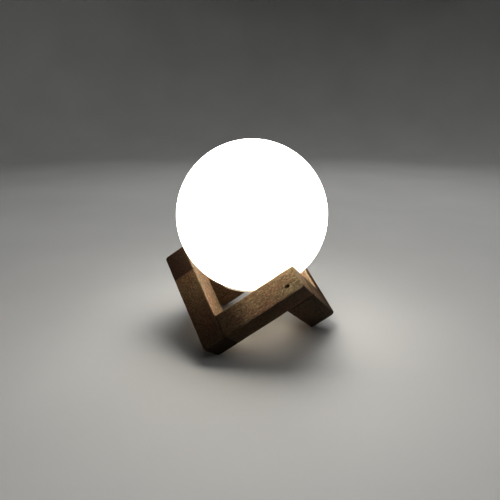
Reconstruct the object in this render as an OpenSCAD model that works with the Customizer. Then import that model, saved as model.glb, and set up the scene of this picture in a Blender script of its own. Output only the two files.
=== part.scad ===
// Rechargeable globe lamp resting in a three-pointed zigzag crown of square-cut wooden bars.
//
// The six bars of the crown lie along six edges of a cube that stands on one corner.
// Their ends make three high and three low corners by turns, and every joint is square.
// Three bar faces slope inwards at right angles to each other, and the globe touches
// each of them at one point. The lamp's works hang in a cup in the globe's underside.
// Millimetres. +Z is up, the low corner that two front bars share points along -Y,
// and the origin is on the table, on the axis of the crown and the globe.

/* [Globe] */
// Outer radius of the globe
globe_r = 60; // [50:0.5:75]
// Wall of the opal globe
globe_wall = 1.8; // [1.2:0.1:3]

/* [Crown stand] */
// Thickness of a bar, square to the face that carries the globe
bar_w = 19; // [14:0.5:26]
// Height of a bar across that face
bar_h = 24; // [18:0.5:32]
// From the globe's touching point to the outer corner of the crown
corner_land = 8.7; // [6:0.1:14]
// Gap between the globe and each seat
seat_gap = 0.3; // [0.1:0.1:1]
// Height sanded off each low corner to make a flat foot
foot_cut = 2; // [1:0.1:4]
// Rounding of the bars' edges
edge_r = 1.2; // [0.4:0.1:2.5]
// Length of edge that is sanded round at the low corners' outer tips
low_tip_round = 9; // [4:0.5:12]
// The same at the high corners' outer tips
high_tip_round = 6; // [3:0.5:12]
// The same at the inner top of the high corners
crest_round = 3; // [2:0.5:7]

/* [Corner brads] */
// Radius of a brad's shank
brad_r = 0.8; // [0.5:0.1:1.2]
// Length of a brad
brad_len = 35; // [30:1:40]
// Radius of a brad's head
brad_head_r = 1.2; // [1.1:0.1:2]
// Thickness of a brad's head
brad_head_t = 1; // [0.5:0.1:1.5]
// Depth of the head below the wood
brad_set = 0.8; // [0.3:0.1:2]
// From the bar's outer edge to the brad
brad_inset = 7; // [5:0.5:9]
// From the end of the bar to the brad at a high corner
brad_back = 10.4; // [7:0.1:14]

/* [Battery] */
// Length of the cell
cell_l = 25; // [20:0.5:32]
// Width of the cell
cell_w = 20; // [16:0.5:26]
// Thickness of the cell
cell_t = 10; // [6:0.5:14]
// Thickness of the foam pad under the cell
pad_t = 1; // [0.5:0.1:2]
// Rounding of the cell's wrapped edges
cell_round = 2; // [1:0.1:3]
// Thickness of the protection board on the cell
guard_t = 1.2; // [0.8:0.1:1.6]

/* [Base cup and neck] */
// Wall of the cup
cup_wall = 1.6; // [1.2:0.1:2.4]
// Floor of the cup
floor_t = 1.8; // [1.2:0.1:3]
// Width of the cup's flange outside its wall
cup_flange_w = 3.9; // [3.7:0.1:6]
// Thickness of the cup's flange
cup_flange_t = 1.6; // [1.4:0.1:3]
// Radial wall of the neck ring
neck_wall = 5; // [4.6:0.1:7]
// Height of the neck ring inside the globe
neck_h = 9; // [7.5:0.5:14]
// Lap of the neck flange on the globe
neck_lap = 2.6; // [1.5:0.1:4]
// Radius of the bosses that carry the light plate
boss_r = 2.2; // [2:0.1:3]
// Radius of the pillars that carry the control board
pillar_r = 2.4; // [2:0.1:3]

/* [Control board] */
// Thickness of the control board
board_t = 1.6; // [0.8:0.1:2]
// Width of a lead plug
plug_w = 4.2; // [3.4:0.1:4.6]
// Depth of a lead plug
plug_d = 3.6; // [3:0.1:4]
// Height of a lead plug
plug_h = 4; // [3:0.1:6]

/* [Charging socket] */
// Outer width of the socket shell
socket_w = 8.94; // [8.9:0.01:9]
// Outer thickness of the socket shell
socket_t = 3.26; // [3.2:0.01:3.3]
// Sheet of the socket shell
socket_wall = 0.3; // [0.2:0.05:0.4]
// Length of the socket from board to mouth
socket_len = 7.6; // [6.5:0.1:10]
// Depth of the mouth behind the cup's underside
socket_recess = 0.4; // [0:0.1:1]
// Width of the socket's tongue
tongue_w = 6.69; // [6.5:0.01:6.8]
// Thickness of the socket's tongue
tongue_t = 0.7; // [0.6:0.05:0.8]

/* [Push button] */
// Radius of the button's face
button_r = 4.5; // [3.5:0.1:5]
// How far the button stands out
button_out = 0.8; // [0.6:0.1:2]
// Travel of the button
button_travel = 0.6; // [0.2:0.1:0.7]
// Width of the hidden rim that keeps the button in
button_rim_w = 1.1; // [0.6:0.1:1.5]
// Thickness of that rim
button_rim_t = 1.2; // [0.8:0.1:1.4]
// Radius of the button's stem
stem_r = 1.6; // [1:0.1:2.4]
// Side of the switch body
switch_w = 6; // [5:0.1:7]
// Height of the switch body
switch_h = 3.5; // [3:0.1:4]
// Radius of the switch plunger
plunger_r = 1.7; // [1:0.1:2]
// How far the plunger stands out of the switch
plunger_out = 0.8; // [0.8:0.1:1]

/* [Indicator] */
// Radius of the light pipe
pipe_r = 1.25; // [0.8:0.05:1.5]
// Height of the indicator chip
chip_t = 0.8; // [0.5:0.1:1]

/* [Light unit] */
// Thickness of the aluminium light plate
plate_t = 1.5; // [1:0.1:3]
// Radius of the board with the lighting chips
led_board_r = 11.5; // [10.5:0.1:11.8]
// Thickness of that board
led_board_t = 1.6; // [1:0.1:2]
// Number of chips in the outer ring
led_count = 6; // [4:1:6]
// Length of a lighting chip
led_l = 3.5; // [2.8:0.1:3.6]
// Width of a lighting chip
led_w = 2.8; // [2:0.1:3]
// Height of a lighting chip
led_t = 0.8; // [0.5:0.1:1]
// Height of the opal dome over the chips
dome_h = 12; // [9:0.5:16]
// Wall of the dome
dome_wall = 1.2; // [0.8:0.1:1.5]

/* [Screws and leads] */
// Radius of the screws' shanks
screw_r = 0.9; // [0.7:0.05:1]
// Radius of the round screw heads
screw_head_r = 1.7; // [1.5:0.1:1.9]
// Height of the round screw heads
screw_head_t = 1.3; // [1:0.1:1.4]
// Length of a screw's shank
screw_len = 5; // [4:0.5:6]
// Radius of a lead with its insulation
lead_r = 0.45; // [0.3:0.05:0.5]

/* [Hidden] */
// Every node, in the order from the table up

// Smoothness of round shapes
$fn = 96;
lead_fn = 32;

// Clearances
slip = 0.1;           // between parts that slide together and are then fixed
press = 0.05;         // round a brad or a screw in its hole
run = 0.25;           // round the button in its hole
contact = 0.05;       // between a moving part and the stop that it rests on
part_gap = 0.6;       // between parts beside each other in the cup
cell_room = 1.1;      // from the cell's corners to the cup's wall
boss_gap = 0.5;       // from the cell's ends to the bosses
board_gap = 0.5;      // from the control board's edge to the cup's wall
socket_gap = 2.4;     // from the socket's shell to the boss behind it
lead_room = 0.3;      // over a lead that runs between two parts
spigot_gap = 0.3;     // from the dome's spigot to the screw heads under it
over = 1;             // overshoot of a cutting solid

// Colours
wood_a = [0.60, 0.45, 0.31];
wood_b = [0.55, 0.41, 0.28];
opal = [1.00, 0.98, 0.95];
white_plastic = [0.90, 0.90, 0.88];
steel = [0.72, 0.72, 0.74];
board_green = [0.10, 0.35, 0.20];
board_white = [0.93, 0.93, 0.92];
black_plastic = [0.10, 0.10, 0.11];
foam_grey = [0.30, 0.30, 0.32];
cell_blue = [0.25, 0.42, 0.68];
chip_yellow = [0.95, 0.80, 0.30];
button_grey = [0.75, 0.75, 0.74];
clear_plastic = [0.85, 0.90, 0.95];
lead_red = [0.75, 0.10, 0.08];

// Crown, in the frame of a cube whose edges its bars follow
cube_edge = globe_r + seat_gap + bar_w + corner_land;
low_len = cube_edge - bar_h;              // a bar that runs through at a low corner
high_len = cube_edge - bar_w;             // a bar that runs through at a high corner
tilt = atan(1 / sqrt(2));                 // slope of every bar
rest_drop = (cube_edge - bar_h) / sqrt(3) + foot_cut;
globe_z = (bar_w + seat_gap + globe_r) * sqrt(3) - rest_drop;

// Small features
sanding = 1.5;        // radius of a sanded corner against its reach
rim_t = 2.4;          // moulded rim inside the globe's opening
boss_merge = 0.3;     // how far a boss stands into the cup's wall
head_edge = 0.3;      // least plastic beside a flush screw head
head_floor = 0.4;     // least plastic behind a flush screw head
cross_w = 0.5;        // width of a screw's cross recess
cross_reach = 1.4;    // length of that recess against the head's radius
groove_land = 1;      // ring groove round the button
groove_w = 0.5;
groove_depth = 0.3;
button_ease = 0.4;    // bevel of the button's face
plunger_hidden = 0.7; // length of plunger inside the switch
socket_back = 1;      // solid back of the socket
tongue_set = 1.2;     // from the socket's mouth to the tongue's tip
pipe_lip = 0.8;       // collar that keeps the light pipe in
pad_inset = 0.5;      // from the cell's edge to the foam pad's
spigot_h = 1.1;       // spigot of the dome
spigot_wall = 1;
guard_w = 3;          // protection board on the cell
lead_inset = 1.5;     // from the lighting board's edge to where its leads are soldered
lead_step = 0.75;     // half the distance between two leads of a pair
lead_bend = 1.1;      // fullness of a lead's bend against its radius
indicator = [2, 1.2]; // indicator chip
driver = [5, 4.4];    // power chip under the control board
driver_t = 1.5;
coil_r = 2;           // coil under the control board
coil_t = 2;
parts_y = 3.5;        // from the middle line to that chip and coil
led_margin = 0.4;     // least edge beside a chip or a screw on the lighting board
led_screw_inset = 1.9;

// Cup and neck, outwards from the battery
cup_inner_r = max(norm([cell_l, cell_w]) / 2 + cell_room,
                  cell_l / 2 + boss_gap + 2 * boss_r - boss_merge);
cup_outer_r = cup_inner_r + cup_wall;
cup_flange_r = cup_outer_r + cup_flange_w;
neck_inner_r = cup_outer_r + 2 * slip;
neck_outer_r = neck_inner_r + neck_wall;
opening_r = neck_outer_r + slip;
neck_flange_r = opening_r + neck_lap;
land_z = sqrt(globe_r * globe_r - neck_flange_r * neck_flange_r);   // below the centre
base_z = globe_z - land_z - cup_flange_t;                           // the lamp's underside
base_screw_ring = cup_outer_r + (cup_flange_w + slip) / 2;
base_head_r = min(screw_head_r, cup_flange_w / 2 - head_edge);
base_head_t = min(screw_head_t, cup_flange_t - head_floor);         // heads lie flush

// Heights in the cup, up from its underside
board_z = socket_recess + socket_len;
board_top = board_z + board_t;
cell_z = board_top + pad_t;
cell_top = cell_z + cell_t;
light_z = cell_top + guard_t + 2 * lead_r + lead_room;
plate_top = light_z + plate_t;
led_top = plate_top + led_board_t;
rim_z = plate_top + screw_head_t + spigot_gap + spigot_h;

// Places in the cup
boss_x = cup_inner_r - boss_r + boss_merge;
boss_inner_x = boss_x - boss_r;
board_r = cup_inner_r - board_gap;
board_screw_y = (cell_w / 2 + board_r) / 2;
plug_x = screw_head_r + part_gap + plug_w / 2;
button_rim_r = button_r + button_rim_w;
button_x = boss_inner_x - part_gap - button_rim_r;
socket_x = -(boss_inner_x - socket_gap - socket_t / 2);
driver_x = socket_x + socket_t / 2 + 2 * part_gap;
pipe_y = -(board_screw_y - pillar_r - pipe_r - 2 * part_gap);
plunger_tip_z = board_z - switch_h - plunger_out;
guard_x = cell_round - cell_l / 2;
led_ring_r = led_board_r - led_l - led_margin;
led_screw_ring = led_board_r - led_screw_inset;
led_screw_head_r = min(screw_head_r, led_screw_inset - led_margin);

// Turns the cube onto its corner and sets it on the table
module on_corner(turn) {
    rotate([0, 0, 120 * turn]) translate([0, 0, -rest_drop]) rotate([45, -tilt, -90]) children();
}

// Carries what hangs in the globe's underside
module in_base() {
    translate([0, 0, base_z]) children();
}

// A rectangle with all four corners rounded
module eased_rect(size, r) {
    translate([r, 0]) square([size[0] - 2 * r, size[1]]);
    translate([0, r]) square([size[0], size[1] - 2 * r]);
    for (x = [r, size[0] - r], y = [r, size[1] - r]) translate([x, y]) circle(r = r);
}

// A rectangle with the two corners at its lower end rounded
module eased_end(size, r) {
    translate([0, r]) square([size[0], size[1] - r]);
    translate([r, 0]) square([size[0] - 2 * r, size[1]]);
    for (x = [r, size[0] - r]) translate([x, r]) circle(r = r);
}

// An oblong with round ends, lying along Y
module oblong(w, t) {
    square([t, w - t], center = true);
    for (s = [-1, 1]) translate([0, s * (w - t) / 2]) circle(d = t);
}

// A square bar standing on its open end, with its edges eased and its butt end left sharp
module eased_bar(len, size, r) {
    intersection() {
        linear_extrude(len) eased_rect(size, r);
        translate([0, size[1], 0]) rotate([90, 0, 0])
            linear_extrude(size[1]) eased_end([size[0], len], r);
        rotate([90, 0, 90]) linear_extrude(size[0]) eased_end([size[1], len], r);
    }
}

// What sanding takes off an outer corner, where inward has 1 or -1 for each axis
module corner_sanding(corner, inward, reach) {
    difference() {
        translate(corner + inward * (reach - over) / 2) cube(reach + over, center = true);
        translate(corner + inward * reach) sphere(r = sanding * reach);
    }
}

// A brad that points along +Z, driven in from wood whose face is at z = 0
module brad() {
    translate([0, 0, brad_set]) {
        cylinder(r = brad_head_r, h = brad_head_t);
        cylinder(r = brad_r, h = brad_len);
    }
}

// The hole of that brad, open at the wood's face
module brad_hole() {
    translate([0, 0, -over]) {
        cylinder(r = brad_head_r + press, h = over + brad_set + brad_head_t + press);
        cylinder(r = brad_r + press, h = over + brad_set + brad_len + press);
    }
}

// Where a falling bar is pinned to the end of a rising one
module at_low_joint() {
    translate([cube_edge - bar_h / 2, 0, brad_inset]) rotate([-90, 0, 0]) children();
}

// Where a rising bar is pinned to the end of the next falling one
module at_high_joint() {
    translate([cube_edge, cube_edge - brad_back, brad_inset]) rotate([0, -90, 0]) children();
}

// The high joint at a falling bar's own butt end
module at_upper_end() {
    translate([cube_edge - brad_back, brad_inset, cube_edge]) rotate([180, 0, 0]) children();
}

// A bar that falls to a low corner and runs through it
module falling_bar() {
    difference() {
        translate([cube_edge - bar_h, 0, 0]) eased_bar(low_len, [bar_h, bar_w], edge_r);
        corner_sanding([cube_edge, 0, 0], [-1, 1, 1], low_tip_round);
        at_low_joint() brad_hole();
        at_upper_end() brad_hole();
    }
}

// A bar that rises to a high corner and runs through it
module rising_bar() {
    difference() {
        translate([cube_edge - bar_h, cube_edge, 0]) rotate([90, 0, 0])
            eased_bar(high_len, [bar_h, bar_w], edge_r);
        corner_sanding([cube_edge, cube_edge, 0], [-1, -1, 1], high_tip_round);
        corner_sanding([cube_edge, cube_edge, bar_w], [-1, -1, -1], crest_round);
        at_low_joint() brad_hole();
        at_high_joint() brad_hole();
    }
}

// A falling bar in its place, with its foot sanded flat on the table
module placed_falling_bar(turn) {
    difference() {
        on_corner(turn) falling_bar();
        translate([0, 0, -cube_edge]) cube(2 * cube_edge, center = true);
    }
}

// The six bars, each named for the side it stands on as seen along +Y
module front_left_bar() {
    color(wood_a) placed_falling_bar(0);
}

module front_right_bar() {
    color(wood_b) on_corner(0) rising_bar();
}

module right_bar() {
    color(wood_a) placed_falling_bar(1);
}

module rear_right_bar() {
    color(wood_b) on_corner(1) rising_bar();
}

module rear_left_bar() {
    color(wood_a) placed_falling_bar(2);
}

module left_bar() {
    color(wood_b) on_corner(2) rising_bar();
}

// Brads through the falling bars into the rising bars' lower ends
module low_corner_brads() {
    color(steel) for (turn = [0:2]) on_corner(turn) at_low_joint() brad();
}

// Brads through the rising bars into the falling bars' upper ends
module high_corner_brads() {
    color(steel) for (turn = [0:2]) on_corner(turn) at_high_joint() brad();
}

// A round-headed screw that points along -Z, its head standing on z = 0
module screw(head_r, head_t, len) {
    difference() {
        union() {
            cylinder(r = head_r, h = head_t);
            translate([0, 0, -len]) cylinder(r = screw_r, h = len);
        }
        for (a = [0, 90]) rotate([0, 0, a])
            translate([0, 0, head_t])
                cube([cross_reach * head_r, cross_w, head_t], center = true);
    }
}

// The three places where screws come up through the cup's flange
module at_base_screws() {
    for (i = [0:2]) rotate([0, 0, 60 + 120 * i]) translate([base_screw_ring, 0, 0]) children();
}

// The two pillars that carry the control board
module at_board_screws() {
    for (s = [-1, 1]) translate([0, s * board_screw_y, 0]) children();
}

// The two bosses that carry the light plate
module at_bosses() {
    for (s = [-1, 1]) translate([s * boss_x, 0, 0]) children();
}

// The three screws between the chips of the light unit
module at_led_screws() {
    for (i = [0:2]) rotate([0, 0, 30 + 120 * i]) translate([led_screw_ring, 0, 0]) children();
}

// Opal globe with a flat land and a moulded rim round its opening
module globe_shell() {
    color(opal) translate([0, 0, globe_z]) difference() {
        union() {
            difference() {
                sphere(r = globe_r);
                sphere(r = globe_r - globe_wall);
            }
            intersection() {
                sphere(r = globe_r);
                translate([0, 0, -globe_r])
                    cylinder(r = neck_flange_r, h = globe_r - land_z + rim_t);
            }
        }
        translate([0, 0, -globe_r - over]) cylinder(r = globe_r, h = globe_r + over - land_z);
        translate([0, 0, -globe_r]) cylinder(r = opening_r, h = globe_r - land_z + 2 * rim_t);
    }
}

// Thick ring bonded into the globe's opening, with the screw holes of the cup
module neck_ring() {
    color(white_plastic) in_base() difference() {
        union() {
            cylinder(r = neck_flange_r, h = cup_flange_t);
            cylinder(r = neck_outer_r, h = cup_flange_t + neck_h);
        }
        translate([0, 0, -over]) {
            cylinder(r = neck_inner_r, h = neck_h + cup_flange_t + 2 * over);
            cylinder(r = cup_flange_r + slip, h = cup_flange_t + over);
        }
        at_base_screws() cylinder(r = screw_r + press, h = base_head_t + screw_len + press);
    }
}

// Cup that holds the works: floor outside, rim up inside the globe
module base_cup() {
    color(white_plastic) in_base() difference() {
        union() {
            difference() {
                union() {
                    cylinder(r = cup_outer_r, h = rim_z);
                    cylinder(r = cup_flange_r, h = cup_flange_t);
                }
                translate([0, 0, floor_t]) cylinder(r = cup_inner_r, h = rim_z);
            }
            at_board_screws() cylinder(r = pillar_r, h = board_z);
            at_bosses() cylinder(r = boss_r, h = light_z);
        }
        at_board_screws() translate([0, 0, board_top - screw_len - press])
            cylinder(r = screw_r + press, h = screw_len);
        at_bosses() translate([0, 0, plate_top - screw_len - press])
            cylinder(r = screw_r + press, h = screw_len);
        at_base_screws() translate([0, 0, -over]) {
            cylinder(r = base_head_r + press, h = over + base_head_t);
            cylinder(r = screw_r + press, h = 2 * over + cup_flange_t);
        }
        translate([button_x, 0, -over]) {
            cylinder(r = button_r + run, h = floor_t + 2 * over);
            difference() {
                cylinder(r = button_r + run + groove_land + groove_w, h = over + groove_depth);
                cylinder(r = button_r + run + groove_land, h = over + groove_depth);
            }
        }
        translate([socket_x, 0, -over]) linear_extrude(floor_t + 2 * over)
            oblong(socket_w + 4 * slip, socket_t + 4 * slip);
        translate([0, pipe_y, -over]) cylinder(r = pipe_r + slip, h = floor_t + 2 * over);
    }
}

// Flush screws that hold the cup in the neck ring
module base_screws() {
    color(steel) in_base() at_base_screws() translate([0, 0, base_head_t]) mirror([0, 0, 1])
        screw(base_head_r, base_head_t, screw_len);
}

// Shell of the charging socket, its mouth in the cup's floor
module charge_socket() {
    color(steel) in_base() translate([socket_x, 0, socket_recess]) difference() {
        linear_extrude(socket_len) oblong(socket_w, socket_t);
        translate([0, 0, -over]) linear_extrude(over + socket_len - socket_back)
            oblong(socket_w - 2 * socket_wall, socket_t - 2 * socket_wall);
    }
}

// Contact tongue inside the charging socket
module socket_tongue() {
    color(black_plastic) in_base() translate([socket_x, 0, socket_recess + tongue_set])
        translate([-tongue_t / 2, -tongue_w / 2, 0])
            cube([tongue_t, tongue_w, socket_len - socket_back - tongue_set]);
}

// Body of the push switch under the control board
module button_switch() {
    color(black_plastic) in_base() translate([button_x, 0, board_z - switch_h]) difference() {
        translate([-switch_w / 2, -switch_w / 2, 0]) cube([switch_w, switch_w, switch_h]);
        translate([0, 0, -over])
            cylinder(r = plunger_r + press, h = over + plunger_hidden + button_travel + run);
    }
}

// Plunger of the switch, which travels with the button
module switch_plunger() {
    color(black_plastic) in_base() translate([button_x, 0, plunger_tip_z])
        cylinder(r = plunger_r, h = plunger_out + plunger_hidden);
}

// Push button with a hidden rim above the floor and a stem up to the plunger
module power_button() {
    rim_top = floor_t + contact + button_rim_t;
    color(button_grey) in_base() translate([button_x, 0, 0]) {
        translate([0, 0, -button_out])
            cylinder(r1 = button_r - button_ease, r2 = button_r, h = button_ease);
        translate([0, 0, button_ease - button_out])
            cylinder(r = button_r, h = button_out - button_ease + floor_t + contact);
        translate([0, 0, floor_t + contact]) cylinder(r = button_rim_r, h = button_rim_t);
        translate([0, 0, rim_top]) cylinder(r = stem_r, h = plunger_tip_z - contact - rim_top);
    }
}

// Charging light on the underside of the control board
module indicator_chip() {
    color(chip_yellow) in_base()
        translate([-indicator[0] / 2, pipe_y - indicator[1] / 2, board_z - chip_t])
            cube([indicator[0], indicator[1], chip_t]);
}

// Clear rod that brings the charging light to the underside
module light_pipe() {
    color(clear_plastic) in_base() translate([0, pipe_y, 0]) {
        translate([0, 0, slip]) cylinder(r = pipe_r, h = board_z - chip_t - 2 * slip);
        translate([0, 0, floor_t]) cylinder(r = pipe_r + pipe_lip, h = pipe_lip);
    }
}

// Round control board with notches for the light plate's bosses and parts on its underside
module control_board() {
    color(board_green) in_base() {
        difference() {
            translate([0, 0, board_z]) cylinder(r = board_r, h = board_t);
            at_bosses() cylinder(r = boss_r + part_gap, h = light_z);
            at_board_screws() cylinder(r = screw_r + press, h = light_z);
        }
        translate([driver_x, parts_y, board_z - driver_t]) cube([driver[0], driver[1], driver_t]);
        translate([driver_x + coil_r, -parts_y - coil_r, board_z - coil_t])
            cylinder(r = coil_r, h = coil_t);
    }
}

// Screws that hold the control board on its pillars
module board_screws() {
    color(steel) in_base() at_board_screws() translate([0, 0, board_top])
        screw(screw_head_r, screw_head_t, screw_len - 2 * press);
}

// Plugs of the battery leads and of the lighting leads
module lead_plugs() {
    color(board_white) in_base() for (s = [-1, 1])
        translate([s * plug_x - plug_w / 2, board_screw_y - plug_d / 2, board_top])
            cube([plug_w, plug_d, plug_h]);
}

// Foam pad that beds the cell on the control board
module foam_pad() {
    color(foam_grey) in_base()
        translate([pad_inset - cell_l / 2, pad_inset - cell_w / 2, board_top])
            cube([cell_l - 2 * pad_inset, cell_w - 2 * pad_inset, pad_t]);
}

// Wrapped flat cell lying on its pad
module battery_cell() {
    color(cell_blue) in_base() translate([-cell_l / 2, -cell_w / 2, cell_z]) intersection() {
        linear_extrude(cell_t) eased_rect([cell_l, cell_w], cell_round);
        rotate([90, 0, 90]) linear_extrude(cell_l) eased_rect([cell_w, cell_t], cell_round);
    }
}

// Protection board on the cell, where its leads start
module guard_board() {
    color(board_green) in_base() translate([guard_x, -cell_w / 2 + cell_round, cell_top])
        cube([guard_w, cell_w - 2 * cell_round, guard_t]);
}

// A straight stretch of lead
module rod(from, to) {
    course = to - from;
    translate(from) rotate([0, acos(course[2] / norm(course)), atan2(course[1], course[0])])
        cylinder(r = lead_r, h = norm(course), $fn = lead_fn);
}

// A lead through a list of points, with a slightly fuller round bend at each turn
module lead(points) {
    for (i = [1:len(points) - 1]) rod(points[i - 1], points[i]);
    for (i = [1:len(points) - 2]) translate(points[i])
        sphere(r = lead_r * lead_bend, $fn = lead_fn);
}

// The battery's lead on one side of its pair
module battery_lead(side) {
    x0 = guard_x + guard_w / 2 + side * lead_step;
    x1 = -plug_x + side * lead_step;
    y0 = cell_w / 2 - 3 * cell_round;
    run_z = cell_top + guard_t + lead_r + lead_room / 2;
    lead([
        [x0, y0, cell_top + guard_t], [x0, y0, run_z],
        [x1, board_screw_y, run_z], [x1, board_screw_y, board_top + plug_h]
    ]);
}

// The lighting lead on one side of its pair, up through the light plate's notch
module lighting_lead(side) {
    x0 = plug_x + side * lead_step;
    x1 = plug_x / 2 + side * lead_step;
    y1 = led_board_r - lead_inset;
    run_z = led_top + lead_r + lead_room;
    lead([
        [x0, board_screw_y, board_top + plug_h], [x0, board_screw_y, run_z],
        [x1, y1, run_z], [x1, y1, led_top]
    ]);
}

// The red lead of each pair
module red_leads() {
    color(lead_red) in_base() {
        battery_lead(-1);
        lighting_lead(1);
    }
}

// The black lead of each pair
module black_leads() {
    color(black_plastic) in_base() {
        battery_lead(1);
        lighting_lead(-1);
    }
}

// Aluminium plate that closes the cup and spreads the chips' heat
module light_plate() {
    notch_w = 2 * (lead_step + lead_r + part_gap);
    notch_y = board_screw_y - lead_r - part_gap / 2;
    color(steel) in_base() translate([0, 0, light_z]) difference() {
        cylinder(r = cup_inner_r - slip, h = plate_t);
        translate([0, 0, -over]) {
            at_bosses() cylinder(r = screw_r + press, h = plate_t + 2 * over);
            at_led_screws() cylinder(r = screw_r + press, h = plate_t + 2 * over);
            translate([plug_x - notch_w / 2, notch_y, 0])
                cube([notch_w, cup_outer_r, plate_t + 2 * over]);
        }
    }
}

// Screws that hold the light plate on its bosses
module light_plate_screws() {
    color(steel) in_base() at_bosses() translate([0, 0, plate_top])
        screw(screw_head_r, screw_head_t, screw_len - 2 * press);
}

// Board that carries the lighting chips
module led_board() {
    color(board_white) in_base() difference() {
        translate([0, 0, plate_top]) cylinder(r = led_board_r, h = led_board_t);
        at_led_screws() cylinder(r = screw_r + press, h = rim_z);
    }
}

// One lighting chip on the middle of its board
module led_chip() {
    translate([-led_l / 2, -led_w / 2, led_top]) cube([led_l, led_w, led_t]);
}

// Lighting chips: one in the middle and a ring round it
module led_chips() {
    color(chip_yellow) in_base() {
        led_chip();
        for (i = [0:led_count - 1]) rotate([0, 0, 360 / led_count * i])
            translate([led_ring_r, 0, 0]) led_chip();
    }
}

// Screws that hold the lighting board on the light plate
module led_screws() {
    color(steel) in_base() at_led_screws() translate([0, 0, led_top])
        screw(led_screw_head_r, screw_head_t, led_board_t + plate_t - slip);
}

// Opal dome over the chips, with a spigot that sits in the cup's rim
module diffuser_dome() {
    dome_r = (cup_outer_r * cup_outer_r + dome_h * dome_h) / (2 * dome_h);
    spigot_r = cup_inner_r - press;
    color(opal) in_base() translate([0, 0, rim_z]) difference() {
        union() {
            difference() {
                translate([0, 0, dome_h - dome_r]) sphere(r = dome_r);
                translate([0, 0, dome_h - dome_r]) sphere(r = dome_r - dome_wall);
                translate([0, 0, -2 * dome_r]) cylinder(r = 2 * dome_r, h = 2 * dome_r);
            }
            translate([0, 0, -spigot_h]) cylinder(r = spigot_r, h = spigot_h + dome_wall);
        }
        translate([0, 0, -spigot_h - over])
            cylinder(r = spigot_r - spigot_wall, h = spigot_h + over + dome_wall);
    }
}

front_left_bar();
front_right_bar();
right_bar();
rear_right_bar();
rear_left_bar();
left_bar();
low_corner_brads();
high_corner_brads();
globe_shell();
neck_ring();
base_cup();
base_screws();
charge_socket();
socket_tongue();
button_switch();
indicator_chip();
light_pipe();
control_board();
board_screws();
lead_plugs();
foam_pad();
battery_cell();
guard_board();
red_leads();
black_leads();
light_plate();
light_plate_screws();
led_board();
led_chips();
led_screws();
diffuser_dome();
power_button();
switch_plunger();
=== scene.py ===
import math

import bmesh
import bpy
from mathutils import Matrix, Vector, noise


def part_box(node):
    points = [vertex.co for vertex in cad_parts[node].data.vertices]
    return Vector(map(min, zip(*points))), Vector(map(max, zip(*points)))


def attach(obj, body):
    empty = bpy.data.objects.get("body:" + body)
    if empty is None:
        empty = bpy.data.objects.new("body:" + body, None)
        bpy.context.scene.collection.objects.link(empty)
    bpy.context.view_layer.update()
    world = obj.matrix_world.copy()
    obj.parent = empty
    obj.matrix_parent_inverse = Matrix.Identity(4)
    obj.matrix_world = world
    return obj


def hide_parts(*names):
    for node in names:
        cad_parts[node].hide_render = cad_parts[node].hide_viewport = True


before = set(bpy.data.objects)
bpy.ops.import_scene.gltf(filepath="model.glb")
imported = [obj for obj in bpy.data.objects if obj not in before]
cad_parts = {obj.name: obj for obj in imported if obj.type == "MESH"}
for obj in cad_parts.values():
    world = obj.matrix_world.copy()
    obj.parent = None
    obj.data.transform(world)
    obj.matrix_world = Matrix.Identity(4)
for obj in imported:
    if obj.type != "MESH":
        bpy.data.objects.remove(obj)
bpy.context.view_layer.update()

MM = 0.001

# Sizes of the crown and the globe, as in the part's source

GLOBE_R = 60 * MM
GLOBE_WALL = 1.8 * MM
SEAT_GAP = 0.3 * MM
BAR_W = 19 * MM
BAR_H = 24 * MM
CORNER_LAND = 8.7 * MM
FOOT_CUT = 2 * MM
EDGE_R = 1.2 * MM
LOW_TIP_ROUND = 9 * MM
HIGH_TIP_ROUND = 6 * MM
CREST_ROUND = 3 * MM
BRAD_INSET = 7 * MM
BRAD_BACK = 10.4 * MM
BRAD_HOLE_R = 1.25 * MM
CUP_FLANGE_T = 1.6 * MM
NECK_LAP = 2.6 * MM
RIM_T = 2.4 * MM

CUBE_EDGE = GLOBE_R + SEAT_GAP + BAR_W + CORNER_LAND
REST_DROP = (CUBE_EDGE - BAR_H) / math.sqrt(3) + FOOT_CUT
GLOBE_Z = (BAR_W + SEAT_GAP + GLOBE_R) * math.sqrt(3) - REST_DROP
TILT = math.atan(1 / math.sqrt(2))

# Fine shape of the wood: its grid, the brad's hole, the wear of the edges and the grain's relief

GRID = 0.5 * MM
JOINT_GROOVE = 0.7 * MM
BRAD_HOLE_DEPTH = 1.85 * MM
BRAD_HOLE_TAPER = 0.96
WEAR_SPACING = 9 * MM
WEAR_SHARE = 0.45
SANDED_BALL = 1.5
FIBRE_LONG, FIBRE_WIDE, FIBRE_HIGH = 14 * MM, 0.9 * MM, 0.045 * MM
WAVE_LONG, WAVE_WIDE, WAVE_HIGH = 30 * MM, 12 * MM, 0.10 * MM
RELIEF_SINK = 0.06 * MM
KNOT_LONG, KNOT_WIDE = 9 * MM, 4 * MM
SEED_STEP = 137
ON_FACE = 1e-6
TINY = 1e-9

# Fineness of the turned globe

ARC_STEPS = 120
GLOBE_SEGMENTS = 192
MERGE = 1e-7

# Tones of the wood, as colours or as factors on one, and how strongly they are mixed in

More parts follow.
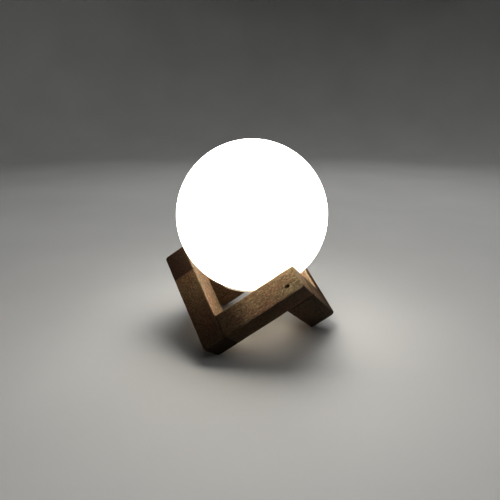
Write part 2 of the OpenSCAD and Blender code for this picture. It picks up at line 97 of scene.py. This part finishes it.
BLACK = (0, 0, 0)
WHITE = (1, 1, 1)
TIMBER = [(0.30, (0.105, 0.064, 0.035)), (0.46, (0.205, 0.142, 0.086)),
          (0.56, (0.285, 0.209, 0.132)), (0.72, (0.370, 0.284, 0.187))]
WARMTH = [(0.36, (1.0, 0.84, 0.78)), (0.64, (0.93, 1.0, 0.88))]
MOTTLE = [(0.38, (0.77, 0.75, 0.73)), (0.60, (1.25, 1.25, 1.25))]
LATE_WOOD = (0.100, 0.056, 0.029)
PALE_SPECK = (0.44, 0.355, 0.255)
OPEN_PORE = (0.045, 0.027, 0.015)
RUBBED_EDGE = (0.42, 0.335, 0.235)
END_GRAIN = (0.26, 0.23, 0.24)
# Tone multiplied in where painted shade darkens the wood
PAINTED_SHADE_TONE = (0.30, 0.27, 0.25)
SEAM_LINE = (0.030, 0.017, 0.010)
HOLE_STAIN = (0.035, 0.016, 0.008)
LATE_SHARE = 0.38
SPECK_SHARE = 0.55
WARMTH_SHARE = 0.85
PORE_SHARE = 0.55
SEAM_SHARE = 0.5
# Painted light: colour factors on the tint of the seat faces and of the inner faces
SEAT_PAINTED_LIGHT_TINT = Vector((0.97, 1.10, 1.30))
INNER_PAINTED_LIGHT = Vector((1.6, 1.6, 1.6))
PLAIN_SHADE = Vector((1, 1, 1))

# Rings of the timber: how many to the millimetre of radius, and how many they wander

RINGS_PER_MM = 0.36
RING_WANDER = 5.0
RING_SHARPNESS = 4.0

# Strength of the globe's light

GLOW = 5.6

# Painted shade on the wood: its amount at an under face's inner edge, and how much a falling bar's outer face
# loses of it on the way up, over this span of its length

UNDER_PAINTED_SHADE = 0.7
FALLING_FADE = 0.7
FALLING_SPAN = (0.05, 0.95)

# Painted light on a seat face: factor low down, and how much of it is lost toward the high corner, over this
# span

SEAT_PAINTED_LIGHT = 1.20
SEAT_PAINTED_DIM = 0.55
SEAT_SPAN = (0.5, 0.95)

# Distances over which a value comes in or fades: relief from the butt end, painted shade from a rising bar's
# joint, the seam line and the wear from a joint, wear from an edge, and the stain from the brad's axis

RELIEF_RANGE = (0.2 * MM, 3 * MM)
JOINT_PAINTED_SHADE_RANGE = (8 * MM, 30 * MM)
SEAM_RANGE = (0.2 * MM, 1.1 * MM)
JOINT_WEAR_RANGE = (0.5 * MM, 3 * MM)
EDGE_WEAR_RANGE = (0.3 * MM, 1.6 * EDGE_R)
STAIN_RANGE = (0.8 * BRAD_HOLE_R, 1.3 * BRAD_HOLE_R)
STAIN_STRETCH = 0.45

# Stage and lights, in metres and degrees

STAGE_RINGS = (0.3, 0.9)
STAGE_FLAT_R = 1.5
STAGE_BEND_R = 0.6
STAGE_BEND_STEPS = 24
STAGE_TOP = 2.4
STAGE_SEGMENTS = 96
LIGHT_AIM = Vector((0, 0, 0.07))

# Camera, from the fit of the crown's corners and the globe's outline in the photograph: its place in metres,
# its focal length and frame in pixels, and its sensor in millimetres

CAMERA_AT = Vector((0.16921, -0.30381, 0.17821))
CAMERA_AZIMUTH = math.radians(29.37)
CAMERA_PITCH = math.radians(17.36)
CAMERA_NEAR = 0.01
FOCAL_PX = 442.7
FRAME_PX = 500
SENSOR = 36

# Name, azimuth, elevation, distance, width, power and colour of each light
LIGHTS = [
    ("back", 190, 62, 1.5, 1.1, 8.0, (1.0, 0.99, 0.97)),
    ("fill", 36, 52, 0.7, 0.4, 0.40, WHITE),
    ("side", 120, 45, 1.5, 1.0, 0.9, WHITE),
]

# Node, third of a turn, whether it falls outward, seed, pith's place in metres, tint, darkness of the end
# grain, and the bend of the grain round a brad's hole
BARS = [
    ("front_left_bar", 0, True, 1.0, (0.034, -0.004), (0.72, 0.67, 0.64), 0.1, 0.0),
    ("front_right_bar", 0, False, 2.0, (0.012, 0.031), (1.05, 1.06, 1.10), 0.0, 3.0),
    ("right_bar", 1, True, 3.0, (-0.012, 0.024), (0.84, 0.82, 0.82), 0.3, 0.0),
    ("rear_right_bar", 1, False, 4.0, (0.030, 0.009), (0.95, 0.92, 0.90), 0.5, 0.0),
    ("rear_left_bar", 2, True, 5.0, (0.006, -0.014), (0.78, 0.74, 0.72), 0.4, 0.0),
    ("left_bar", 2, False, 6.0, (0.033, 0.026), (0.72, 0.68, 0.66), 1.0, 0.0),
]


# Scene pieces

def link(obj):
    bpy.context.scene.collection.objects.link(obj)
    return obj


def mesh_object(name, verts, faces):
    mesh = bpy.data.meshes.new(name)
    mesh.from_pydata(verts, [], faces)
    mesh.validate()
    mesh.polygons.foreach_set("use_smooth", [True] * len(mesh.polygons))
    mesh.update()
    return link(bpy.data.objects.new(name, mesh))


def paint(mesh, name, values):
    """Stores a number or a triple for each point of a mesh."""
    if isinstance(values[0], tuple):
        attribute = mesh.attributes.new(name, "FLOAT_VECTOR", "POINT")
        attribute.data.foreach_set("vector", [c for value in values for c in value])
    else:
        attribute = mesh.attributes.new(name, "FLOAT", "POINT")
        attribute.data.foreach_set("value", values)


def grow(value, low, high):
    """Smooth step from 0 at low to 1 at high."""
    t = min(max((value - low) / (high - low), 0), 1)
    return t * t * (3 - 2 * t)


# Shader helpers

class Shader:
    """A material's node tree with short calls for the nodes that this scene uses."""

    def __init__(self, name):
        self.material = bpy.data.materials.new(name)
        self.material.use_nodes = True
        self.tree = self.material.node_tree
        self.bsdf = self.tree.nodes["Principled BSDF"]

    def node(self, kind, **settings):
        made = self.tree.nodes.new(kind)
        for key, value in settings.items():
            setattr(made, key, value)
        return made

    def feed(self, socket, value):
        """Links a socket to a node's output, or sets it to a number or a colour."""
        if isinstance(value, bpy.types.NodeSocket):
            self.tree.links.new(value, socket)
        elif isinstance(value, tuple):
            socket.default_value = (*value, 1)
        else:
            socket.default_value = value

    def set(self, **values):
        """Feeds the shader's own sockets; an underscore stands for a space in a socket's name."""
        for key, value in values.items():
            self.feed(self.bsdf.inputs[key.replace("_", " ")], value)

    def attribute(self, name, output="Fac"):
        return self.node("ShaderNodeAttribute", attribute_name=name).outputs[output]

    def coords(self, scale=(1, 1, 1), attribute=None):
        """Position in millimetres, stretched by scale; from a mesh attribute, or from the object."""
        mapping = self.node("ShaderNodeMapping")
        if attribute:
            source = self.attribute(attribute, "Vector")
        else:
            source = self.node("ShaderNodeTexCoord").outputs["Object"]
            scale = tuple(s / MM for s in scale)
        mapping.inputs["Scale"].default_value = scale
        self.feed(mapping.inputs["Vector"], source)
        return mapping.outputs["Vector"]

    def split(self, vector):
        made = self.node("ShaderNodeSeparateXYZ")
        self.feed(made.inputs[0], vector)
        return made.outputs

    def noise(self, scale, detail, rough, distortion=0.0, attribute=None):
        """Noise with features about 1 / scale millimetres wide; scale is one number or three."""
        if not isinstance(scale, tuple):
            scale = (scale, scale, scale)
        made = self.node("ShaderNodeTexNoise")
        made.inputs["Scale"].default_value = 1.0
        made.inputs["Detail"].default_value = detail
        made.inputs["Roughness"].default_value = rough
        made.inputs["Distortion"].default_value = distortion
        self.feed(made.inputs["Vector"], self.coords(scale, attribute))
        return made.outputs["Fac"]

    def ramp(self, factor, stops):
        made = self.node("ShaderNodeValToRGB")
        ramp = made.color_ramp
        while len(ramp.elements) < len(stops):
            ramp.elements.new(0.5)
        for element, (at, colour) in zip(ramp.elements, stops):
            element.position = at
            element.color = (*colour, 1)
        self.feed(made.inputs["Fac"], factor)
        return made.outputs["Color"]

    def blend(self, factor, dark, light, margin=0.3):
        """Two colours, blended over the middle of a noise's range."""
        return self.ramp(factor, [(margin, dark), (1 - margin, light)])

    def mix(self, factor, a, b, mode="MIX"):
        made = self.node("ShaderNodeMix", data_type="RGBA", blend_type=mode)
        for socket, value in zip((made.inputs[0], made.inputs[6], made.inputs[7]), (factor, a, b)):
            self.feed(socket, value)
        return made.outputs[2]

    def maths(self, operation, *values):
        made = self.node("ShaderNodeMath", operation=operation)
        for socket, value in zip(made.inputs, values):
            self.feed(socket, value)
        return made.outputs[0]

    def times(self, a, b):
        return self.maths("MULTIPLY", a, b)

    def spread(self, factor, low, high):
        """Maps a 0 to 1 factor to a range of roughness."""
        made = self.node("ShaderNodeMapRange")
        made.inputs["To Min"].default_value = low
        made.inputs["To Max"].default_value = high
        self.feed(made.inputs["Value"], factor)
        return made.outputs["Result"]

    def bump(self, height, strength, distance):
        made = self.node("ShaderNodeBump")
        made.inputs["Strength"].default_value = strength
        made.inputs["Distance"].default_value = distance
        self.feed(made.inputs["Height"], height)
        self.set(Normal=made.outputs["Normal"])


# Materials

def late_wood(s, wander):
    """Share of late wood, 0 to 1, in the yearly rings round the pith, which is where grain_at starts."""
    _, across, up = s.split(s.coords(attribute="grain_at"))
    radius = s.maths("SQRT", s.maths("ADD", s.maths("POWER", across, 2.0), s.maths("POWER", up, 2.0)))
    rings = s.maths("ADD", s.times(radius, RINGS_PER_MM), s.times(wander, RING_WANDER))
    return s.maths("POWER", s.maths("FRACT", rings), RING_SHARPNESS)


def wood_material():
    """Oiled open-pored hardwood; grain_at gives the place in the bar, length first, in mm."""
    s = Shader("stained_wood")

    def grain(along, across, detail, rough, distortion=0.0):
        """Noise drawn out along the grain."""
        return s.noise((along, across, across), detail, rough, distortion, "grain_at")

    fibre = grain(0.17, 1.5, 6, 0.74)
    late = late_wood(s, grain(0.03, 0.10, 3, 0.55))
    specks = s.ramp(grain(0.90, 1.6, 3, 0.66, 0.4), [(0.52, BLACK), (0.64, WHITE)])
    warmth = s.ramp(grain(0.045, 0.09, 2, 0.5), WARMTH)
    mottle = s.ramp(grain(0.50, 0.90, 2, 0.6), MOTTLE)
    pores = s.ramp(grain(0.60, 2.1, 2, 0.55), [(0.37, WHITE), (0.43, BLACK)])
    rubbed = s.ramp(grain(0.10, 0.16, 3, 0.6), [(0.40, BLACK), (0.66, (0.8, 0.8, 0.8))])

    # The timber itself
    tone = s.ramp(fibre, TIMBER)
    tone = s.mix(s.times(late, LATE_SHARE), tone, LATE_WOOD)
    tone = s.mix(s.times(specks, SPECK_SHARE), tone, PALE_SPECK)
    tone = s.mix(WARMTH_SHARE, tone, warmth, "MULTIPLY")
    tone = s.mix(1.0, tone, mottle, "MULTIPLY")
    tone = s.mix(s.times(pores, PORE_SHARE), tone, OPEN_PORE)

    # What making and use did to it, with painted light and painted shade
    tone = s.mix(s.times(s.attribute("wear"), rubbed), tone, RUBBED_EDGE)
    tone = s.mix(s.attribute("end_grain"), tone, END_GRAIN, "MULTIPLY")
    # The tint holds the bar's tone with painted light on its seat and inner faces
    tone = s.mix(1.0, tone, s.attribute("tint", "Vector"), "MULTIPLY")
    # Painted shade: darkens the under faces, and the outer faces most toward the low corners
    tone = s.mix(s.attribute("painted_shade"), tone, PAINTED_SHADE_TONE, "MULTIPLY")
    tone = s.mix(s.times(s.attribute("seam"), SEAM_SHARE), tone, SEAM_LINE)
    tone = s.mix(s.attribute("stain"), tone, HOLE_STAIN)

    s.set(Base_Color=tone, Roughness=s.spread(fibre, 0.86, 0.62), Specular_IOR_Level=0.25)
    height = s.maths("SUBTRACT", s.maths("ADD", fibre, s.times(late, -0.25)), s.times(pores, 0.8))
    s.bump(height, 0.6, 0.25 * MM)
    return s.material


def globe_material():
    """Opal moulding lit from inside, with a weaker glow near its base."""
    s = Shader("opal_globe")
    cloud = s.noise(0.02, 2, 0.4)
    peel = s.noise(0.6, 2, 0.5)
    _, _, up = s.split(s.coords())
    height = s.maths("DIVIDE", s.maths("SUBTRACT", up, (GLOBE_Z - GLOBE_R) / MM), 2 * GLOBE_R / MM)
    glow = s.blend(cloud, (1.0, 0.955, 0.87), (1.0, 0.985, 0.93))
    glow = s.mix(1.0, glow, s.ramp(height, [(0.12, (0.42, 0.40, 0.37)), (0.50, WHITE)]), "MULTIPLY")
    s.set(Base_Color=s.blend(cloud, (0.86, 0.85, 0.82), (0.90, 0.89, 0.87)),
          Roughness=s.spread(peel, 0.34, 0.46),
          Subsurface_Weight=0.15, Subsurface_Scale=3 * MM,
          Emission_Color=glow, Emission_Strength=GLOW)
    s.bump(peel, 0.08, 0.1 * MM)
    return s.material


def plastic_material(name, dark, light, rough=(0.42, 0.6), grain=2.2, bump=0.12):
    """Moulded plastic with a fine spark texture and slight unevenness of colour."""
    s = Shader(name)
    cloud = s.noise(0.12, 3, 0.5)
    spark = s.noise(grain, 2, 0.6)
    s.set(Base_Color=s.blend(cloud, dark, light, 0.35), Roughness=s.spread(spark, *rough))
    s.bump(spark, bump, 0.05 * MM)
    return s.material


def metal_material(name, dark, light, rough=(0.25, 0.45)):
    """Plated or brushed metal, with its marks stretched one way."""
    s = Shader(name)
    marks = s.noise((0.2, 3.0, 3.0), 4, 0.6)
    s.set(Base_Color=s.blend(marks, dark, light), Roughness=s.spread(marks, *rough), Metallic=1.0)
    s.bump(marks, 0.1, 0.03 * MM)
    return s.material


def rod_material():
    """Clear acrylic of the light pipe."""
    s = Shader("clear_rod")
    cloud = s.noise(0.5, 2, 0.5)
    s.set(Base_Color=s.blend(cloud, (0.85, 0.92, 0.93), (0.92, 0.96, 0.96)),
          Roughness=s.spread(cloud, 0.04, 0.12), Transmission_Weight=0.9)
    return s.material


def floor_material():
    s = Shader("studio_floor")
    cloud = s.noise(0.004, 2, 0.5)
    s.set(Base_Color=s.blend(cloud, (0.58, 0.58, 0.575), (0.62, 0.62, 0.615)), Roughness=0.85)
    return s.material


# The wooden bars

def cube_to_part(turn):
    """Takes the crown's cube from its own corner and edges to the part's frame, standing on a corner."""
    tip = Matrix.Rotation(math.radians(-90), 4, "Z") @ Matrix.Rotation(-TILT, 4, "Y")
    tip = tip @ Matrix.Rotation(math.radians(45), 4, "X")
    return Matrix.Rotation(math.radians(120 * turn), 4, "Z") @ Matrix.Translation((0, 0, -REST_DROP)) @ tip


def box_surface(size, step):
    """Corner-to-corner grid over the six faces of a box: points and quads, with shared edges."""
    cells = [max(2, round(length / step)) for length in size]
    index, points, quads = {}, [], []

    def point(key):
        if key not in index:
            index[key] = len(points)
            points.append(Vector(key[i] / cells[i] * size[i] for i in range(3)))
        return index[key]

    for axis in range(3):
        u, v = (axis + 1) % 3, (axis + 2) % 3
        for side in (0, cells[axis]):
            for i in range(cells[u]):
                for j in range(cells[v]):
                    corners = []
                    for di, dj in ((0, 0), (1, 0), (1, 1), (0, 1)):
                        key = [0, 0, 0]
                        key[axis], key[u], key[v] = side, i + di, j + dj
                        corners.append(point(tuple(key)))
                    quads.append(corners if side else corners[::-1])
    return points, quads


def eased(p, size, seed):
    """Rounds the box's edges, more or less along their length, but not those of the butt end."""
    wear = noise.noise(p / WEAR_SPACING + Vector((seed, 0, 0)))
    r = EDGE_R * (1.0 + WEAR_SHARE * wear)
    low = Vector((r, r, r))
    high = Vector((size[0] - r, size[1] - r, size[2]))
    inner = Vector(min(max(p[i], low[i]), high[i]) for i in range(3))
    out = p - inner
    if out.length < TINY or sum(1 for c in out if abs(c) > TINY) < 2:
        return p.copy()
    return inner + out.normalized() * r


def sanded(p, corner, inward, reach):
    """Draws points at an outer corner back onto the sphere that sanding leaves."""
    centre = corner + inward * reach
    away = p - centre
    if all(away[i] * inward[i] <= 0 for i in range(3)) and away.length > SANDED_BALL * reach:
        return centre + away.normalized() * SANDED_BALL * reach
    return p


def pitted(p, normal, centre, axis):
    """Sinks the grid points inside a brad's hole, and draws the ring round it onto the hole's edge."""
    away = p - centre
    if normal.dot(axis) < 0.5 or abs(away.dot(axis)) > ON_FACE:
        return p
    if away.length < BRAD_HOLE_R:
        return centre + away * BRAD_HOLE_TAPER - axis * BRAD_HOLE_DEPTH
    if away.length < BRAD_HOLE_R + GRID:
        return centre + away.normalized() * BRAD_HOLE_R
    return p


def grain_relief(at, seed):
    """Height of the wood's surface at a place in the bar: ridges along the grain and a slight waviness."""

    def drawn_out(long, wide, shift):
        return noise.noise(Vector((at.x / long, at.y / wide, at.z / wide)) + Vector(shift))

    fibre = drawn_out(FIBRE_LONG, FIBRE_WIDE, (seed, seed, 0))
    wave = drawn_out(WAVE_LONG, WAVE_WIDE, (0, seed, seed))
    return FIBRE_HIGH * fibre + WAVE_HIGH * wave


class Bar:
    """A bar of the crown, finely gridded, with worn edges and values at each point for its material.

    Its own x runs from its inner to its outer face, y from its under to its seat face, and z from the corner
    that it runs through to its butt end.
    """

    def __init__(self, turn, falling, seed, pith, tint, end_dark, knot):
        self.falling = falling
        self.seed = seed
        self.pith = pith
        self.tint = tint
        self.end_dark = end_dark
        self.knot = knot
        self.length = CUBE_EDGE - (BAR_H if falling else BAR_W)
        self.size = (BAR_H, BAR_W, self.length)
        self.to_part = cube_to_part(turn)
        low_corner = Vector((CUBE_EDGE, 0, 0))
        high_corner = Vector((CUBE_EDGE, CUBE_EDGE, 0))
        if falling:
            self.to_cube = Matrix.Translation((CUBE_EDGE - BAR_H, 0, 0))
            self.tips = [(low_corner, Vector((-1, 1, 1)), LOW_TIP_ROUND)]
            self.hole, self.hole_axis = Vector((BAR_H / 2, 0, BRAD_INSET)), Vector((0, -1, 0))
        else:
            lay = Matrix.Rotation(math.radians(90), 4, "X")
            self.to_cube = Matrix.Translation((CUBE_EDGE - BAR_H, CUBE_EDGE, 0)) @ lay
            crest = high_corner + Vector((0, 0, BAR_W))
            self.tips = [(high_corner, Vector((-1, -1, 1)), HIGH_TIP_ROUND),
                         (crest, Vector((-1, -1, -1)), CREST_ROUND)]
            self.hole, self.hole_axis = Vector((BAR_H, BRAD_INSET, BRAD_BACK)), Vector((1, 0, 0))

    def face_normal(self, p):
        """Outward normal of the box's face that a grid point lies on."""
        out = p - Vector(self.size) / 2
        face = [out[i] / self.size[i] for i in range(3)]
        top = max(range(3), key=lambda i: abs(face[i]))
        normal = Vector((0, 0, 0))
        normal[top] = math.copysign(1, face[top])
        return normal

    def placed(self, q, at, p, normal):
        """The grid point p, already moved to q, with relief and sanded tips, in the part's frame."""
        fade = grow(self.length - q.z, *RELIEF_RANGE)
        q = q + normal * (grain_relief(at, self.seed) - RELIEF_SINK) * fade
        if not normal.z and self.length - p.z < GRID / 2:
            q = q - normal * JOINT_GROOVE
        q = self.to_cube @ q
        for corner, inward, reach in self.tips:
            q = sanded(q, corner, inward, reach)
        q = self.to_part @ q
        q.z = max(q.z, 0)
        return q

    def grain_at(self, at):
        """The place in the log in mm, along it and across it from the pith, bent round the brad's hole."""
        over = (at.z - self.hole.y) / KNOT_WIDE
        near = math.hypot((at.x - self.hole.z) / KNOT_LONG, over)
        bend = -self.knot * over * math.exp(-near * near)
        return (at.x / MM + SEED_STEP * self.seed,
                (at.y - self.pith[0]) / MM,
                (at.z - self.pith[1]) / MM + bend)

    def painted_shade(self, p, normal):
        """Painted shade on a face: none on the faces that the globe lights, most underneath and low down."""
        if normal.y > 0 or normal.x < 0:
            return 0.0
        if normal.y < 0:
            return UNDER_PAINTED_SHADE + (1 - UNDER_PAINTED_SHADE) * p.x / BAR_H
        if self.falling:
            return 1 - FALLING_FADE * grow(p.z / self.length, *FALLING_SPAN)
        return 1 - grow(self.length - p.z, *JOINT_PAINTED_SHADE_RANGE)

    def tint_with_painted_light(self, p, normal):
        """The bar's tint times painted light: brighter on the seat faces, most low down, and on the inner
        faces.
        """
        shade = PLAIN_SHADE
        if normal.y > 0:
            rise = p.z if self.falling else self.length - p.z
            shade = SEAT_PAINTED_LIGHT_TINT * (SEAT_PAINTED_LIGHT - SEAT_PAINTED_DIM * grow(rise / self.length, *SEAT_SPAN))
        elif normal.x < 0:
            shade = INNER_PAINTED_LIGHT
        return tuple(a * b for a, b in zip(self.tint, shade))

    def joint_gap(self, p):
        """Distance from the nearest butt joint's line."""
        gap = self.length - p.z
        if self.falling and p.z < BAR_W + EDGE_R:
            return min(gap, BAR_W - p.y)
        if not self.falling and p.z < BAR_H + EDGE_R:
            return min(gap, p.x)
        return gap

    def worn(self, p):
        """Rubbing of the edges, which leaves out the joints."""
        rim = sorted(min(p[i], self.size[i] - p[i]) for i in range(3))[1]
        return (1 - grow(rim, *EDGE_WEAR_RANGE)) * grow(self.joint_gap(p), *JOINT_WEAR_RANGE)

    def stained(self, p):
        """Dark mark in and round the brad's hole, drawn out to one side along the bar."""
        aside = p - self.hole
        if abs(aside.dot(self.hole_axis)) >= MM:
            return 0.0
        if aside.z > 0:
            aside.z *= STAIN_STRETCH
        return 1 - grow(aside.cross(self.hole_axis).length, *STAIN_RANGE)

    def build(self, node):
        points, quads = box_surface(self.size, GRID)
        verts = []
        keys = ("grain_at", "tint", "end_grain", "wear", "stain", "seam", "painted_shade")
        values = {key: [] for key in keys}
        for p in points:
            normal = self.face_normal(p)
            q = pitted(eased(p, self.size, self.seed), normal, self.hole, self.hole_axis)
            at = Vector((q.z, q.x, q.y))
            verts.append(self.placed(q, at, p, normal))
            values["grain_at"].append(self.grain_at(at))
            # The bar's tint with painted light on the seat and inner faces
            values["tint"].append(self.tint_with_painted_light(p, normal))
            values["end_grain"].append(self.end_dark if normal.z else 0.0)
            values["wear"].append(self.worn(p))
            values["stain"].append(self.stained(p))
            values["seam"].append(1 - grow(self.joint_gap(p), *SEAM_RANGE))
            values["painted_shade"].append(self.painted_shade(p, normal))
        bar = mesh_object("wood_" + node, verts, quads)
        for key in keys:
            paint(bar.data, key, values[key])
        bar.data.materials.append(wood)
        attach(bar, "stand")
        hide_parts(node)


# The globe

def arc(radius, start, stop):
    """Points of (radius, height) on a circle round the globe's centre, between two angles above level."""
    points = []
    for i in range(ARC_STEPS + 1):
        a = start + (stop - start) * i / ARC_STEPS
        points.append((max(radius * math.cos(a), 0), radius * math.sin(a)))
    return points


def lathe(name, outline, segments):
    """Turns a closed outline of (radius, height) about Z."""
    verts, faces = [], []
    for i in range(segments):
        a = 2 * math.pi * i / segments
        verts += [Vector((r * math.cos(a), r * math.sin(a), z)) for r, z in outline]
    n = len(outline)
    for i in range(segments):
        here, there = i * n, (i + 1) % segments * n
        for j in range(n):
            k = (j + 1) % n
            faces.append((here + j, there + j, there + k, here + k))
    obj = mesh_object(name, verts, faces)
    made = bmesh.new()
    made.from_mesh(obj.data)
    bmesh.ops.remove_doubles(made, verts=made.verts, dist=MERGE)
    bmesh.ops.recalc_face_normals(made, faces=made.faces)
    made.to_mesh(obj.data)
    made.free()
    return obj


def make_globe():
    """The moulded globe: outer and inner sphere, land and thick rim round the opening."""
    low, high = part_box("neck_ring")
    land = low.z + CUP_FLANGE_T - GLOBE_Z
    land_r = (high.x - low.x) / 2
    opening = land_r - NECK_LAP
    rim_top = land + RIM_T
    inner = GLOBE_R - GLOBE_WALL
    outline = arc(GLOBE_R, math.atan2(land, land_r), math.pi / 2)
    outline += arc(inner, math.pi / 2, math.asin(rim_top / inner))
    outline += [(opening, rim_top), (opening, land)]
    globe = lathe("globe", [(r, z + GLOBE_Z) for r, z in outline], GLOBE_SEGMENTS)
    globe.data.materials.append(opal)
    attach(globe, "lamp")
    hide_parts("globe_shell")


# Finish of the other nodes

def finish_nodes():
    """Materials of the pieces that stay as the part's solids: all but the bars and the globe."""
    finishes = [
        (plastic_material("white_plastic", (0.70, 0.70, 0.68), (0.78, 0.78, 0.76)),
         ("neck_ring", "base_cup")),
        (plastic_material("black_plastic", (0.012, 0.012, 0.013), (0.022, 0.022, 0.024)),
         ("socket_tongue", "button_switch", "switch_plunger")),
        (metal_material("screw_steel", (0.42, 0.42, 0.43), (0.60, 0.60, 0.61)),
         ("base_screws", "board_screws", "light_plate_screws", "led_screws")),
        (plastic_material("grey_plastic", (0.34, 0.34, 0.35), (0.40, 0.40, 0.41), (0.3, 0.42)),
         ("power_button",)),
        (metal_material("plated_shell", (0.55, 0.55, 0.56), (0.70, 0.70, 0.71), (0.15, 0.3)),
         ("charge_socket",)),
        (metal_material("brad_steel", (0.03, 0.022, 0.018), (0.06, 0.045, 0.035), (0.5, 0.7)),
         ("low_corner_brads", "high_corner_brads")),
        (metal_material("plate_aluminium", (0.62, 0.62, 0.63), (0.74, 0.74, 0.75), (0.3, 0.5)),
         ("light_plate",)),
        (plastic_material("connector_plastic", (0.66, 0.62, 0.52), (0.74, 0.70, 0.60)),
         ("lead_plugs",)),
        (plastic_material("black_foam", (0.02, 0.02, 0.02), (0.04, 0.04, 0.04), (0.85, 0.95), 1.2, 0.6),
         ("foam_pad",)),
        (plastic_material("cell_wrap", (0.03, 0.09, 0.28), (0.05, 0.12, 0.34), (0.18, 0.3), 0.6),
         ("battery_cell",)),
        (plastic_material("green_board", (0.008, 0.07, 0.025), (0.015, 0.10, 0.035), (0.2, 0.35), 0.9),
         ("control_board", "guard_board")),
        (plastic_material("white_board", (0.74, 0.74, 0.72), (0.80, 0.80, 0.78), (0.25, 0.35), 0.9),
         ("led_board",)),
        (plastic_material("lighting_chip", (0.75, 0.50, 0.08), (0.85, 0.60, 0.12), (0.2, 0.35), 1.0),
         ("led_chips", "indicator_chip")),
        (plastic_material("opal_dome", (0.80, 0.79, 0.77), (0.86, 0.85, 0.83), (0.35, 0.5), 0.8, 0.05),
         ("diffuser_dome",)),
        (plastic_material("red_insulation", (0.38, 0.015, 0.012), (0.48, 0.025, 0.02), (0.35, 0.5)),
         ("red_leads",)),
        (plastic_material("black_insulation", (0.014, 0.014, 0.014), (0.024, 0.024, 0.024), (0.35, 0.5)),
         ("black_leads",)),
        (rod_material(), ("light_pipe",)),
    ]
    for material, nodes in finishes:
        for node in nodes:
            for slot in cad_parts[node].material_slots:
                slot.material = material


# Stage, lights and camera

def make_stage():
    """A pale round floor that sweeps up into a wall on every side, so no view looks past it."""
    outline = [(r, 0.0) for r in STAGE_RINGS]
    for i in range(STAGE_BEND_STEPS + 1):
        a = math.pi / 2 * i / STAGE_BEND_STEPS
        outline.append((STAGE_FLAT_R + STAGE_BEND_R * math.sin(a), STAGE_BEND_R - STAGE_BEND_R * math.cos(a)))
    outline.append((STAGE_FLAT_R + STAGE_BEND_R, STAGE_TOP))
    verts, faces = [Vector((0, 0, 0))], []
    for r, z in outline:
        for i in range(STAGE_SEGMENTS):
            a = 2 * math.pi * i / STAGE_SEGMENTS
            verts.append(Vector((r * math.cos(a), r * math.sin(a), z)))
    for i in range(STAGE_SEGMENTS):
        k = (i + 1) % STAGE_SEGMENTS
        faces.append((0, 1 + i, 1 + k))
        for j in range(len(outline) - 1):
            low, high = 1 + j * STAGE_SEGMENTS, 1 + (j + 1) * STAGE_SEGMENTS
            faces.append((low + i, high + i, high + k, low + k))
    floor = mesh_object("studio_floor", verts, faces)
    floor.data.materials.append(floor_material())


def area_light(name, azimuth, elevation, distance, width, power, colour):
    a, e = math.radians(azimuth), math.radians(elevation)
    away = Vector((math.sin(a) * math.cos(e), -math.cos(a) * math.cos(e), math.sin(e)))
    light = bpy.data.lights.new(name, "AREA")
    light.shape = "DISK"
    light.size = width
    light.energy = power
    light.color = colour
    lamp = link(bpy.data.objects.new(name, light))
    lamp.location = LIGHT_AIM + away * distance
    lamp.rotation_mode = "QUATERNION"
    lamp.rotation_quaternion = (-away).to_track_quat("-Z", "Y")


def make_camera():
    data = bpy.data.cameras.new("camera")
    data.sensor_width = SENSOR
    data.lens = FOCAL_PX * SENSOR / FRAME_PX
    data.clip_start = CAMERA_NEAR
    camera = link(bpy.data.objects.new("camera", data))
    camera.location = CAMERA_AT
    camera.rotation_euler = (math.pi / 2 - CAMERA_PITCH, 0, CAMERA_AZIMUTH)
    bpy.context.scene.camera = camera


def make_world():
    """A faint cool light from all round."""
    world = bpy.data.worlds.new("studio")
    world.use_nodes = True
    background = world.node_tree.nodes["Background"]
    background.inputs["Color"].default_value = (0.9, 0.93, 1.0, 1)
    background.inputs["Strength"].default_value = 0.05
    bpy.context.scene.world = world


wood = wood_material()
opal = globe_material()
make_camera()
make_stage()
make_world()
for light in LIGHTS:
    area_light(*light)
for node, *traits in BARS:
    Bar(*traits).build(node)
make_globe()
finish_nodes()

bpy.context.scene.view_settings.view_transform = "Standard"
bpy.context.scene.view_settings.look = "High Contrast"
